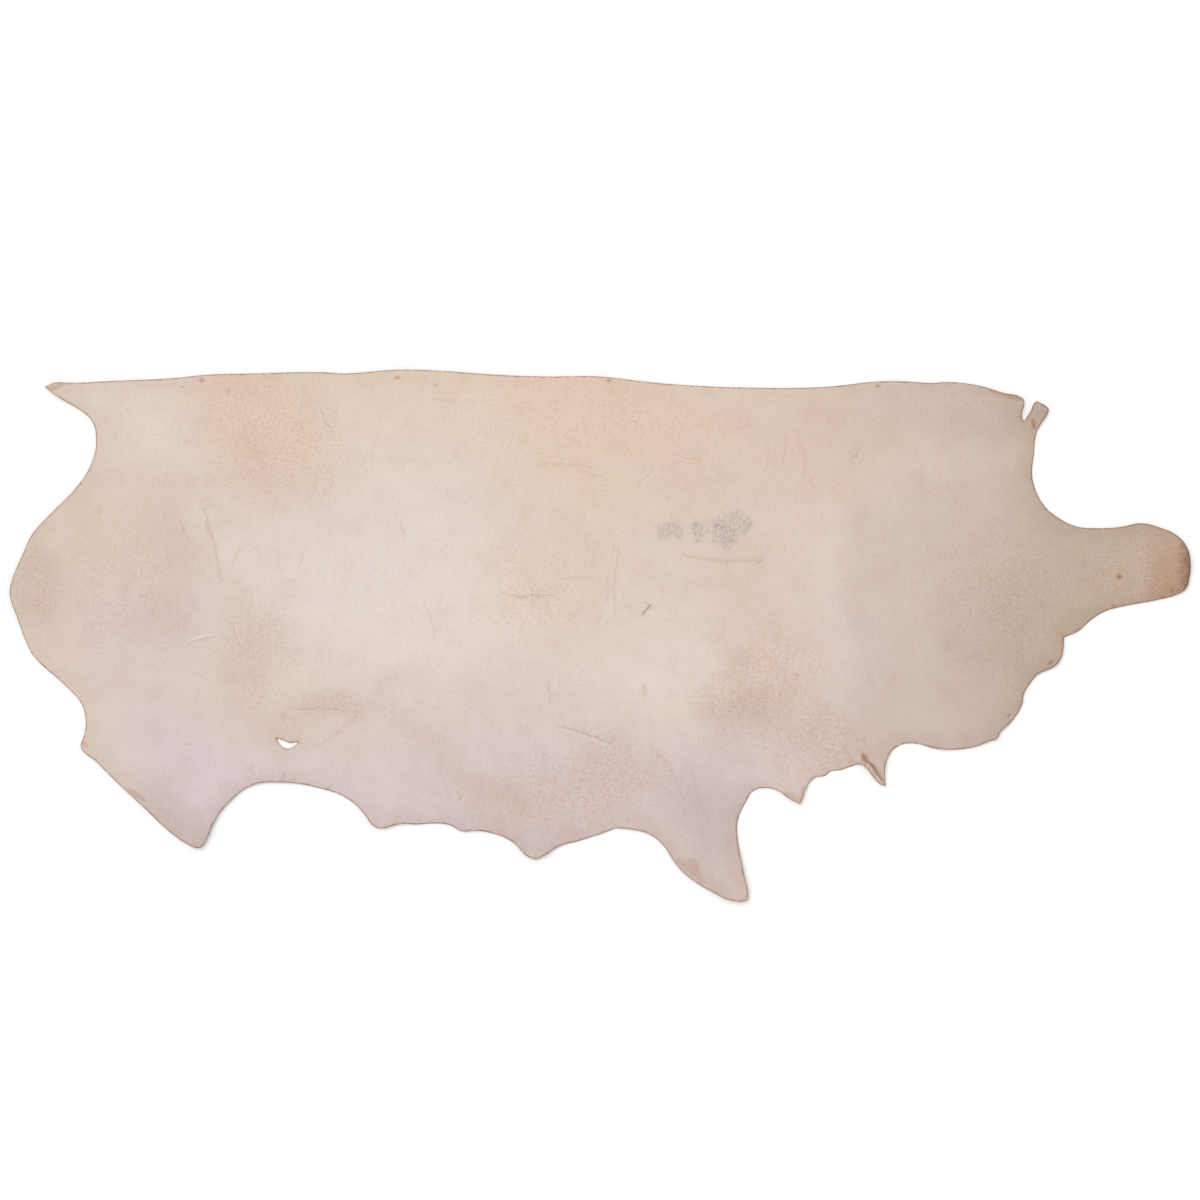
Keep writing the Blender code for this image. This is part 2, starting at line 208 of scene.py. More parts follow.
# Scars, scratches, wrinkles and pinches. Each is a soft stroke from its start to its end, bowed to
# the left of its run, that stands proud by its relief or, where that is negative, sinks in.
Mark = namedtuple("Mark", "name finish start end bow width relief strength")
MARKS = (
    Mark("toggle bite over the rump", "brown", (-841, 538), (-833, 536), 0, 8, -0.7, 1.20),
    Mark("toggle bite over the loin", "brown", (-430, 541), (-422, 541), 0, 8, -0.7, 1.20),
    Mark("toggle bite over the back", "brown", (15, 535), (22, 535), 0, 8, -0.6, 1.10),
    Mark("toggle bite over the neck", "brown", (580, 524), (588, 524), 0, 8, -0.7, 1.20),
    Mark("root of the ear tab", "ruddy", (909, 452), (913, 434), 0, 9, -0.9, 1.40),
    Mark("toggle bite on the cheek", "dark", (941, -60), (948, -52), 0, 6, -0.8, 1.00),
    Mark("toggle bite on the throat", "dark", (855, -171), (861, -165), 0, 5, -0.7, 0.90),
    Mark("toggle bite on the thigh", "brown", (-976, -331), (-972, -330), 0, 6, -0.6, 0.70),
    Mark("toggle bite on the hock", "brown", (-1084, -227), (-1079, -226), 0, 7, -0.6, 0.70),
    Mark("stain on the fore shank", "ruddy", (188, -472), (206, -494), 2, 15, -0.3, 0.48),
    Mark("brown rim of the fore shank", "brown", (165, -470), (215, -515), 0, 14, 0, 0.55),
    Mark("brown rim of the brisket tip", "brown", (388, -330), (420, -347), 0, 14, 0, 0.60),
    Mark("brown front of the brisket tip", "ruddy", (421, -343), (428, -318), 0, 8, 0, 0.50),
    Mark("brown hock point", "brown", (-1090, -222), (-1076, -233), 0, 11, 0, 0.60),
    Mark("brown rim of the thigh", "brown", (-990, -322), (-958, -345), 0, 10, 0, 0.60),
    Mark("brown rim by the ear notch", "brown", (818, 514), (883, 495), 2, 11, 0, 0.95),
    Mark("brown tail tip", "brown", (-1156, 517), (-1128, 526), 0, 12, -0.3, 0.80),
    # The dark root and the dark pinch at the brisket spur are painted shadow in the spur's fold; the brown
    # and ruddy strokes about them are the leather's own colour
    Mark("root of the pinch", "dark", (552, -251), (559, -264), 0, 9, -1.2, 1.10),
    Mark("brown about the root", "ruddy", (550, -248), (561, -267), 0, 13, -0.4, 0.75),
    Mark("pinch at the brisket spur", "dark", (554, -256), (592, -304), 2, 5, -1.2, 1.20),
    Mark("ruddy side of the pinch", "ruddy", (566, -268), (593, -306), 2, 9, -0.5, 0.90),
    Mark("crease over the tail tip", "brown", (-1152, 512), (-1138, 527), 0, 5, -0.6, 0.70),
    Mark("neck scratch", "pale", (85, 314), (118, 345), 2, 3.2, -0.4, 0.95),
    Mark("neck scratch shade", "brown", (81, 317), (113, 347), 0, 2.4, 0.2, 0.45),
    Mark("upper arched wrinkle", "brown", (-126, 358), (17, 339), 10, 3, -0.5, 0.34),
    Mark("lower arched wrinkle", "brown", (-57, 343), (12, 328), 6, 2.6, -0.4, 0.30),
    Mark("back nick", "dark", (90, 43), (104, 65), 0, 3.6, -0.4, 1.10),
    Mark("back dot", "dark", (47, 83), (49, 83), 0, 3.4, -0.2, 0.65),
    Mark("shoulder nick", "dark", (327, 152), (342, 157), 0, 2.6, -0.2, 0.65),
    Mark("shoulder rim line", "brown", (170, 172), (345, 161), -9, 8, 0.2, 0.36),
    Mark("rib wrinkle", "brown", (-202, 87), (-101, 85), -2, 2.6, -0.5, 0.60),
    Mark("cross on the rib wrinkle", "dark", (-144, 103), (-143, 70), 0, 2.2, -0.3, 0.40),
    Mark("long rump vein", "brown", (-832, 268), (-796, 113), 4, 4, -0.3, 0.50),
    Mark("dark length of the vein", "brown", (-829, 242), (-819, 206), 0, 5, -0.3, 0.55),
    Mark("rump scar", "brown", (-882, 245), (-859, 199), -4, 3, -0.4, 0.50),
    Mark("rump nick", "brown", (-1054, 275), (-1052, 255), 0, 2.4, -0.3, 0.35),
    Mark("nick by the tail", "dark", (-883, 519), (-874, 523), 0, 3.6, -0.3, 0.55),
    Mark("small nick by the tail", "dark", (-784, 508), (-777, 514), 0, 3, -0.3, 0.50),
    Mark("healed flank scar", "pale", (-865, -13), (-806, 3), 4, 4, 0.5, 0.80),
    Mark("healed scar shade", "brown", (-866, -18), (-807, -3), 4, 2.6, -0.2, 0.55),
    Mark("scar branch", "pale", (-766, 24), (-754, -18), 0, 3.2, 0.4, 0.70),
    Mark("scar branch's shade", "brown", (-770, 22), (-758, -20), 0, 2.6, -0.2, 0.45),
    Mark("ruddy fleck", "ruddy", (-779, 25), (-775, 28), 0, 6, -0.3, 0.60),
    Mark("small ruddy fleck", "ruddy", (-759, -40), (-757, -42), 0, 5, -0.2, 0.45),
    Mark("thigh fleck", "brown", (-869, -226), (-858, -231), 0, 4, -0.2, 0.45),
    Mark("flank fleck", "brown", (-836, -65), (-832, -67), 0, 3.4, -0.2, 0.40),
    Mark("outer ridge over the flank bay", "brown", (-722, -300), (-640, -300), -5, 3, 0.8, 0.45),
    Mark("inner ridge over the flank bay", "brown", (-716, -292), (-652, -290), -4, 2.6, 0.5, 0.30),
    Mark("short crease by the bay", "brown", (-731, -272), (-729, -289), 0, 3, -0.4, 0.45),
    Mark("belly fleck", "brown", (-300, -327), (-290, -345), 0, 4.4, -0.3, 0.55),
    Mark("side dot behind", "brown", (-423, -64), (-421, -64), 0, 3, -0.2, 0.40),
    Mark("side dot", "brown", (-341, -64), (-339, -64), 0, 3, -0.2, 0.40),
    Mark("blue vein", "grey", (-109, -93), (-106, -144), 0, 3, 0.2, 0.60),
    # The belly crease's brown is painted shade in the crease, and its light side is a painted highlight
    Mark("belly crease", "brown", (-92, -190), (26, -229), 3, 3, -0.9, 0.65),
    Mark("belly crease's light side", "pale", (-90, -195), (24, -234), 3, 3, 0.4, 0.45),
    Mark("elbow wrinkle", "brown", (95, -98), (92, -131), 0, 3, -0.4, 0.40),
    Mark("shank wrinkle", "brown", (111, -238), (146, -270), 0, 3, -0.5, 0.40),
    Mark("long shank wrinkle", "brown", (136, -262), (172, -334), 4, 7, -0.5, 0.16),
    Mark("middle shank wrinkle", "brown", (165, -290), (207, -385), 7, 9, -0.6, 0.14),
    Mark("inner shank wrinkle", "brown", (196, -286), (234, -402), -6, 9, -0.6, 0.14),
    Mark("first neck line", "ruddy", (351, 415), (348, 345), 4, 8, 0, 0.20),
    Mark("second neck line", "ruddy", (370, 402), (366, 340), -3, 6, 0, 0.14),
    Mark("third neck line", "ruddy", (392, 424), (383, 362), 2, 7, 0, 0.16),
    Mark("fourth neck line", "ruddy", (424, 398), (427, 335), 5, 8, 0, 0.22),
    Mark("fifth neck line", "ruddy", (433, 344), (451, 304), 2, 7, 0, 0.18),
    Mark("neck nick", "dark", (533, 373), (543, 392), 0, 2.4, -0.3, 0.50),
    Mark("neck dot", "dark", (801, 493), (804, 494), 0, 3, -0.2, 0.55),
    Mark("small neck dot", "dark", (772, 482), (774, 482), 0, 2.8, -0.2, 0.50),
    Mark("lower neck dot", "dark", (745, 278), (747, 279), 0, 2.8, -0.2, 0.45),
    Mark("cheek spot's halo", "pale", (1089, 123), (1091, 123), 0, 17, 0.3, 0.35),
    Mark("cheek spot", "ruddy", (1087, 123), (1092, 123), 0, 15, -0.3, 1.66),
    Mark("small cheek spot", "ruddy", (1074, 64), (1078, 64), 0, 7, -0.2, 1.20),
    Mark("muzzle dot", "dark", (1198, 91), (1200, 92), 0, 4, -0.2, 0.90),
    Mark("smudged vein", "brown", (-773, 148), (-752, 184), 2, 8, -0.2, 0.30),
    Mark("thin side vein", "brown", (-630, 150), (-613, 191), 0, 3, -0.2, 0.30),
    Mark("upper side vein", "brown", (-421, 243), (-408, 198), 0, 4, -0.2, 0.35),
    Mark("lower side vein", "brown", (-371, 75), (-345, -10), 3, 4, -0.2, 0.30),
    Mark("long shoulder vein", "brown", (40, 184), (31, 42), -6, 3.4, 0.3, 0.35),
    Mark("beside the shoulder vein", "brown", (27, 186), (19, 64), -5, 2.6, 0.2, 0.22),
    Mark("first rump crack", "dark", (-587, 478), (-573, 440), -2, 2.6, -0.4, 0.45),
    Mark("second rump crack", "dark", (-578, 452), (-565, 434), 0, 2.4, -0.3, 0.45),
    Mark("pale rump rub", "pale", (-594, 470), (-577, 452), 0, 6, 0.2, 0.45),
    Mark("nick under the backbone", "dark", (-347, 522), (-342, 528), 0, 3, -0.3, 0.55),
    Mark("short back line", "dark", (62, 452), (79, 449), 0, 2.4, -0.2, 0.40),
    Mark("upper shoulder line", "brown", (160, 378), (212, 370), -2, 2.8, -0.3, 0.35),
    Mark("lower shoulder line", "brown", (165, 368), (213, 360), -2, 2.6, -0.3, 0.30),
    Mark("flank knot", "brown", (-524, -182), (-518, -180), 0, 7, 0.3, 0.45),
    Mark("flank diagonal", "brown", (-596, -235), (-506, -160), -4, 8, -0.3, 0.28),
    Mark("line over the hole", "brown", (-638, -157), (-529, -158), 4, 4, -0.3, 0.32),
    Mark("tick over the hole", "brown", (-668, -160), (-664, -183), 0, 3, -0.3, 0.35),
    Mark("brisket fleck", "brown", (405, -80), (421, -84), 0, 3, -0.2, 0.50),
    Mark("small brisket fleck", "brown", (562, -90), (567, -101), 0, 3, -0.2, 0.30),
    Mark("upper throat pleat", "brown", (868, -62), (889, -84), 0, 3.4, -0.4, 0.30),
    Mark("middle throat pleat", "brown", (852, -92), (874, -117), 0, 3.4, -0.4, 0.35),
    Mark("lower throat pleat", "brown", (838, -112), (862, -138), 0, 3.4, -0.4, 0.30),
    Mark("light line under the backbone", "pale", (-352, 505), (-195, 500), -4, 6, 0.3, 0.20),
    Mark("dark line under the backbone", "brown", (-350, 495), (-230, 494), -3, 6, -0.3, 0.16),
    Mark("second light line under it", "pale", (-325, 487), (-190, 484), 3, 6, 0.3, 0.14),
)

# Broad soft folds of the whole thickness
Fold = namedtuple("Fold", "name start end bow width height")
FOLDS = (
    Fold("roll before the neck", (505, 300), (515, -190), 8, 60, 1.6),
    Fold("roll along the ribs", (-420, 210), (60, 120), 30, 120, 1.2),
    Fold("roll over the flank", (-640, -40), (-430, -260), 20, 80, 1.4),
    Fold("fore leg's first pleat", (150, -240), (215, -400), 8, 26, 1.3),
    Fold("fore leg's second pleat", (215, -250), (255, -430), 6, 24, 1.1),
    Fold("brisket pleat", (520, -190), (552, -262), 0, 20, 1.2),
    Fold("throat's first pleat", (760, -120), (845, -190), 0, 26, 1.2),
    Fold("throat's second pleat", (820, -40), (905, -105), 0, 26, 1.1),
    Fold("backbone ripple", (-360, 500), (-120, 490), 0, 22, 0.8),
)

# Grey scuffed patches on the shoulder
Scuff = namedtuple("Scuff", "name along across length width turn strength")
SCUFFS = (
    Scuff("hind scuff", 144, 224, 34, 26, 20, 0.70),
    Scuff("hind scuff's tail", 164, 214, 20, 16, -30, 0.55),
    Scuff("middle scuff", 209, 220, 22, 32, -10, 0.80),
    Scuff("front scuff", 262, 216, 34, 44, 30, 0.95),
    Scuff("front scuff's top", 292, 236, 34, 30, -10, 0.80),
)

# The scuffs' wandering outlines and the hatched strokes inside them, in millimetres and degrees
SCUFF_CORE = 0.45
SCUFF_WAVER = (22, 30)
HATCH_WAVER = (40, 40)
HATCH_TURN = 68
HATCH_STRETCH = 4.0
HATCH_SIZE = 3.4
HATCH_LINES = (0.42, 0.58)
HATCH_LEAST = 0.12
HATCH_MORE = 0.88
SCUFF_SHARE = 0.75

# Places where small brown flecks crowd together
Flecked = namedtuple("Flecked", "name along across length width strength")
FLECKED = (
    Flecked("rump", -1000, 120, 230, 260, 0.38),
    Flecked("rump point", -1190, 90, 110, 130, 0.60),
    Flecked("warm corner", -700, 420, 260, 170, 0.65),
    Flecked("back", 0, 430, 500, 130, 0.40),
    Flecked("ribs", -120, 130, 200, 170, 0.40),
    Flecked("flank", -740, -40, 160, 200, 0.50),
    Flecked("flank streak", -560, -170, 200, 60, 0.55),
    Flecked("belly", -40, -320, 360, 130, 0.75),
    Flecked("shoulder", 320, -130, 190, 190, 0.72),
    Flecked("brisket", 470, -230, 190, 110, 0.75),
    Flecked("neck", 880, 60, 250, 260, 0.60),
    Flecked("head", 1120, 120, 240, 150, 0.72),
)
FLECKS_ELSEWHERE = 0.10

# The grain's patterns: the size of their patches in millimetres, and the ends of the noise's range
# between which each dye rises from none to full
CLOUD_SIZE = 70
DARK_CLOUDS = (0.48, 0.72)
PALE_CLOUDS = (0.52, 0.28)
CLOUD_SHARE = 0.70
PALE_CLOUD_SHARE = 0.50
STREAK_SIZE = 11
STREAK_TURN = 90
STREAK_STRETCH = 3.5
WARM_STREAKS = (0.50, 0.74)
COOL_STREAKS = (0.50, 0.28)
SPECK_SIZE = 6
DARK_SPECKS = (0.50, 0.70)
PALE_SPECKS = (0.50, 0.30)
LEAST_ROUGH = 0.55
MORE_ROUGH = 0.70
FLECK_SIZE = 5
FLECK_ROUND = (0.15, 0.45)
FLECK_CLUSTER = 13
FLECK_CHOICE = (0.44, 0.60)
PORE_SIZE = 1.4
PORE_HEIGHT = 0.25
WRINKLE_SIZE = 3.0
WRINKLE_WAVER = (9, 5)
WRINKLE_HEIGHT = 0.60
FLECK_DIP = 0.4
GRAIN_ROUGHNESS = 0.56
WRINKLE_ROUGHNESS = 0.16
GRAIN_DEPTH = 0.28

# Where the muzzle turns russet and dark along the side, and its chin across it, in metres. The sizes
# and amounts of wavering are in millimetres.
MUZZLE_WAVER = (16, 36)
CHIN = (0.21, 0.13)
RUSSET_MUZZLE = (1.12, 1.19)
RUSSET_SHARE = 0.20
RUSSET_CHIN_SHARE = 0.36
DARK_MUZZLE = (1.206, 1.236)
DARK_MUZZLE_SHARE = 0.64

# How the shade and the cut line follow the rim, and where the shade grows towards the head and the
# belly, in metres. The sizes of their noise are in millimetres. The shade is the hide's browner edge
# with painted shade, growing where the light falls off; the cut line is the cut edge's own colour with
# a painted shadow.
SHADE_WIDTH = 0.050
SHADE_RAGGED = 0.05
SHADE_RAGGED_SIZE = 30
SHADE_LEAST = 0.10
SHADE_MORE = 0.22
HEADWARD = (0.30, 1.00)
BELLYWARD = (-0.20, -0.45)
CUT_LINE_WAVER = 0.003
CUT_LINE_WAVER_SIZE = 20
CUT_LINE = (0.0006, 0.0038)
CUT_LINE_SHARE = 0.90


def fade(share):
    """Fall smoothly from 1 at share 0 to 0 at share 1 and beyond, for a whole array."""
    return 0.5 + 0.5 * np.cos(np.pi * np.minimum(share, 1.0))


def near_stroke(places, stroke, margin=0.0):
    """Return which places lie about a bowed stroke, their distances from it and how far along it they are."""
    start = np.array(stroke.start, float)
    run = np.array(stroke.end, float) - start
    length = np.hypot(*run)
    reach = length / 2 + abs(stroke.bow) + stroke.width + margin
    near = np.nonzero(np.abs(places - start - run / 2).max(axis=1) < reach)[0]
    share = np.clip((places[near] - start) @ run / length ** 2, 0.0, 1.0)
    aside = np.array((-run[1], run[0])) / length
    bulge = stroke.bow * (1.0 - (2.0 * share - 1.0) ** 2)
    nearest = start + np.outer(share, run) + np.outer(bulge, aside)
    return near, np.hypot(*(places[near] - nearest).T), share


def tapered(share):
    """Return a stroke's width along its way: full in the middle, about half at its ends."""
    return END_WIDTH + (1.0 - END_WIDTH) * np.sin(np.pi * share)


def fold_height(places):
    """Return how far the whole thickness stands up on the broad folds and waves."""
    waves = [noise.noise(Vector((x, y, 0.0)) / WAVE_LENGTH) for x, y in places]
    total = WAVE_HEIGHT * np.clip(np.array(waves), 0.0, 1.0)
    for fold in FOLDS:
        near, distance, _ = near_stroke(places, fold)
        total[near] += fold.height * fade(distance / fold.width)
    return total


def fine_pitch(places, edge_tree):
    """Return how long the sheet's edges may be about the marks and the rim."""
    pitch = np.full(len(places), 2.0 * CELL)
    for mark in MARKS:
        own = min(max(mark.width * MARK_PITCH_SHARE, FINEST_PITCH), COARSEST_MARK_PITCH)
        near, distance, _ = near_stroke(places, mark, own)
        close = near[distance < mark.width + own]
        pitch[close] = np.minimum(pitch[close], own)
    by_rim = [edge_tree.find((x, y, 0.0))[2] < EDGE_BAND for x, y in places]
    return np.where(by_rim, np.minimum(pitch, EDGE_PITCH), pitch)


def packed_sheet(node):
    """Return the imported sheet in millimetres, with its doubles merged."""
    work = bmesh.new()
    work.from_mesh(node.data)
    bmesh.ops.scale(work, vec=Vector((1.0, 1.0, 1.0)) / MM, verts=work.verts)
    bmesh.ops.remove_doubles(work, verts=work.verts, dist=WELD)
    work.normal_update()
    return work


def flat_cells(packed):
    """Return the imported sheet's underside, pressed flat and cut into even square cells."""
    work = packed.copy()
    others = [face for face in work.faces if face.normal.z > -STEEP]
    bmesh.ops.delete(work, geom=others, context="FACES")
    bmesh.ops.scale(work, vec=(1.0, 1.0, 0.0), verts=work.verts)
    inner = [edge for edge in work.edges if not edge.is_boundary]
    bmesh.ops.dissolve_edges(work, edges=inner)
    loose = [vertex for vertex in work.verts if not vertex.link_faces]
    bmesh.ops.delete(work, geom=loose, context="VERTS")
    bmesh.ops.inset_region(
        work, faces=work.faces[:], thickness=EDGE_ROUNDING, use_boundary=True, use_even_offset=True
    )
    for axis in (Vector((1.0, 0.0, 0.0)), Vector((0.0, 1.0, 0.0))):
        reach = [vertex.co.dot(axis) for vertex in work.verts]
        low, high = min(reach), max(reach)
        cells = round((high - low) / CELL)
        for step in range(1, cells):
            middle = axis * (low + (high - low) * step / cells)
            everything = work.verts[:] + work.edges[:] + work.faces[:]
            bmesh.ops.bisect_plane(work, geom=everything, dist=WELD, plane_co=middle, plane_no=axis)
    bmesh.ops.remove_doubles(work, verts=work.verts, dist=CELL_WELD)
    return work


def rim_tree(work):
    """Return a search tree of points close together along the flat sheet's rim."""
    points = []
    for edge in work.edges:
        if edge.is_boundary:
            steps = math.ceil(edge.calc_length() / EDGE_PITCH)
            points += [edge.verts[0].co.lerp(edge.verts[1].co, step / steps) for step in range(steps)]
    tree = KDTree(len(points))
    for index, point in enumerate(points):
        tree.insert(point, index)
    tree.balance()
    return tree


def thicken(work):
    """Give the flat sheet a closed, even thickness above the floor, and its three finishes."""
    for face in work.faces:
        face.material_index = FLESH
    grown = bmesh.ops.extrude_face_region(work, geom=work.faces[:], use_keep_orig=True)["geom"]
    upper = [item for item in grown if isinstance(item, bmesh.types.BMVert)]
    bmesh.ops.translate(work, vec=(0.0, 0.0, FLAT_THICKNESS), verts=upper)
    for face in work.faces:
        levels = {vertex.co.z > 0.0 for vertex in face.verts}
        if levels == {True}:
            face.material_index = GRAIN
        elif levels == {True, False}:
            face.material_index = CUT_EDGE
    bmesh.ops.recalc_face_normals(work, faces=work.faces)


def refine(work, edge_tree):
    """Halve the edges that are too long for the marks and the rim, except on the flesh side."""
    for _ in range(REFINE_PASSES):
        edges = [edge for edge in work.edges if edge.verts[0].co.z + edge.verts[1].co.z > FLAT_THICKNESS]
        ends = np.array([(*edge.verts[0].co, *edge.verts[1].co) for edge in edges]).reshape(-1, 2, 3)
        lengths = np.linalg.norm(ends[:, 1] - ends[:, 0], axis=1)
        too_long = np.nonzero(lengths > fine_pitch(ends.mean(axis=1)[:, :2], edge_tree))[0]
        bmesh.ops.subdivide_edges(work, edges=[edges[index] for index in too_long], cuts=1)
        bmesh.ops.triangulate(work, faces=[face for face in work.faces if len(face.verts) > 4])
    bmesh.ops.triangulate(work, faces=work.faces[:])


def one_finish(vertex, finish):
    return all(face.material_index == finish for face in vertex.link_faces)


def packed_height(tree, vertex):
    """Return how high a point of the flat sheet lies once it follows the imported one."""
    up = Vector((0.0, 0.0, 1.0))
    foot = Vector((vertex.co.x, vertex.co.y, 0.0))
    low = tree.ray_cast(foot - WELL_CLEAR * up, up)[0] or tree.find_nearest(foot)[0]
    lid = foot + (low.z + FLAT_THICKNESS) * up
    high = tree.ray_cast(foot + WELL_CLEAR * up, -up)[0] or tree.find_nearest(lid)[0]
    return low.z + (high.z - low.z) * vertex.co.z / FLAT_THICKNESS


def level_rim(rim, inner):
    """Set each point of the rim level with the points just inside it."""
    for vertex in rim:
        beside = [edge.other_vert(vertex) for edge in vertex.link_edges]
        heights = [other.co.z for other in beside if other in inner]
        if heights:
            vertex.co.z = sum(heights) / len(heights)


def lay_on_packed(work, packed):
    """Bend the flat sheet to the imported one's folds and thickness, and smooth away its facets."""
    tree = BVHTree.FromBMesh(packed)
    for vertex in work.verts:
        vertex.co.z = packed_height(tree, vertex)
    inner = {vertex for vertex in work.verts if one_finish(vertex, GRAIN) or one_finish(vertex, FLESH)}
    rim = [vertex for vertex in work.verts if vertex not in inner]
    level_rim(rim, inner)
    for _ in range(SMOOTH_PASSES):
        bmesh.ops.smooth_vert(work, verts=list(inner), factor=0.5, use_axis_z=True)
    level_rim(rim, inner)


def round_rim(work):
    """Ease the sheet's two arrises, over the narrow band inside its rim."""
    for vertex in work.verts:
        finishes = {face.material_index for face in vertex.link_faces}
        if finishes == {GRAIN, CUT_EDGE}:
            vertex.co.z -= GRAIN_SIDE_DROP
        elif finishes == {FLESH, CUT_EDGE}:
            vertex.co.z += FLESH_SIDE_RISE


def steps_up(value, low, high):
    """Rise smoothly from 0 where the value is low to 1 where it is high, for a whole array."""
    share = np.clip((value - low) / (high - low), 0.0, 1.0)
    return share * share * (3.0 - 2.0 * share)


def oval_share(places, zone, turn):
    """Return 1 in the middle of a soft oval and 0 outside it, for a whole array."""
    angle = math.radians(turn)
    turned = (places - (zone.along, zone.across)) @ np.array(
        [[math.cos(angle), -math.sin(angle)], [math.sin(angle), math.cos(angle)]]
    )
    return 1.0 - steps_up(np.hypot(*(turned / (zone.length, zone.width)).T), OVAL_CORE, 1.0)


def wandered(places):
    """Return the places moved about by noise, so that the outlines of the tones wander."""
    moved = places.copy()
    for size, amount in WANDERS:
        drift = [noise.noise_vector(Vector((x, y, size)) / size).to_2d() for x, y in places]
        moved += amount * np.array(drift)
    return moved


def toned(places):
    """Return the grain's colour with its broad tones, from rump to head, and partly painted shade towards the
    neck and head.
    """
    along, across = places.T
    # The neck's grey tan and the head's tan are partly the hide's own tone and partly painted shade
    sudden = steps_up(along, *NECK_STEP)
    gradual = steps_up(along, *NECK_FADE)
    neck = sudden + (gradual - sudden) * steps_up(across, *NECK_TOP)
    layers = [(NECK_STRENGTH * neck, GREY_TAN)]
    layers += [(tone.strength * oval_share(places, tone, tone.turn), tone.colour) for tone in TONES]
    layers.append((HEAD_STRENGTH * steps_up(along, *HEAD_FADE), HEAD_TAN))
    colour = np.tile(CREAM, (len(places), 1))
    for share, tone_colour in layers:
        colour += share[:, None] * (np.array(tone_colour) - colour)
    return colour


def crowded(places):
    """Return how thickly the small brown flecks stand, from 0 to 1."""
    crowd = [zone.strength * oval_share(places, zone, 0.0) for zone in FLECKED]
    return np.maximum(np.max(crowd, axis=0), FLECKS_ELSEWHERE)


def grain_relief(places):
    """Return how far the grain stands up with its dimples and marks, and how much of each finish shows."""
    dimples = np.array([noise.noise(Vector((x, y, 0.0)) / DIMPLE_LENGTH) for x, y in places])
    relief = DIMPLE_HEIGHT * dimples
    shows = {finish: np.zeros(len(places)) for finish in FINISHES}
    wobble = np.array([noise.noise_vector(Vector((x, y, 0.0)) / WOBBLE_LENGTH).to_2d() for x, y in places])
    wavered = places + WOBBLE * wobble
    for mark in MARKS:
        near, distance, along = near_stroke(wavered, mark)
        share = fade(distance / (mark.width * tapered(along)))
        relief[near] += MARK_RELIEF * mark.relief * share
        shown = MARK_SHOW * mark.strength * share
        shows[mark.finish][near] = np.maximum(shows[mark.finish][near], shown)
    return relief, shows


def dressed_mesh(node):
    """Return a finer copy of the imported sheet, with its folds, marks and eased cut edge."""
    packed = packed_sheet(node)
    work = flat_cells(packed)
    edge_tree = rim_tree(work)
    thicken(work)
    refine(work, edge_tree)
    lay_on_packed(work, packed)
    round_rim(work)
    places = np.array([vertex.co.to_2d() for vertex in work.verts])
    on_grain = np.array([one_finish(vertex, GRAIN) for vertex in work.verts])
    relief, shows = grain_relief(places)
    rise = fold_height(places) + np.where(on_grain, relief, 0.0)
    for vertex, height in zip(work.verts, rise):
        vertex.co.z += height
    bmesh.ops.scale(work, vec=Vector((MM, MM, MM)), verts=work.verts)
    mesh = bpy.data.meshes.new("natural leather side")
    work.to_mesh(mesh)
    work.free()
    packed.free()
    mesh.shade_smooth()
    edge_gap = np.array([edge_tree.find((x, y, 0.0))[2] for x, y in places])
    add_attribute(mesh, "edge_gap", edge_gap * MM)
    wandering = wandered(places)
    add_attribute(mesh, "crowd", crowded(wandering))
    tone = mesh.attributes.new("tone", "FLOAT_COLOR", "POINT")
    tone.data.foreach_set("color", toned(wandering).astype(np.float32).ravel())
    for finish, amount in shows.items():
        add_attribute(mesh, finish, np.where(on_grain, amount, 0.0))
    return mesh


def add_attribute(mesh, name, values):
    attribute = mesh.attributes.new(name, "FLOAT", "POINT")
    attribute.data.foreach_set("value", values.astype(np.float32))


class Number:
    """One output socket. Python's operators on it add Math nodes."""

    def __init__(self, paint, socket):
        self.paint = paint
        self.socket = socket

    def __add__(self, other):
        return self.paint.maths("ADD", self, other)

    __radd__ = __add__

    def __sub__(self, other):
        return self.paint.maths("SUBTRACT", self, other)

    def __rsub__(self, other):
        return self.paint.maths("SUBTRACT", other, self)

    def __mul__(self, other):
        return self.paint.maths("MULTIPLY", self, other)

    __rmul__ = __mul__


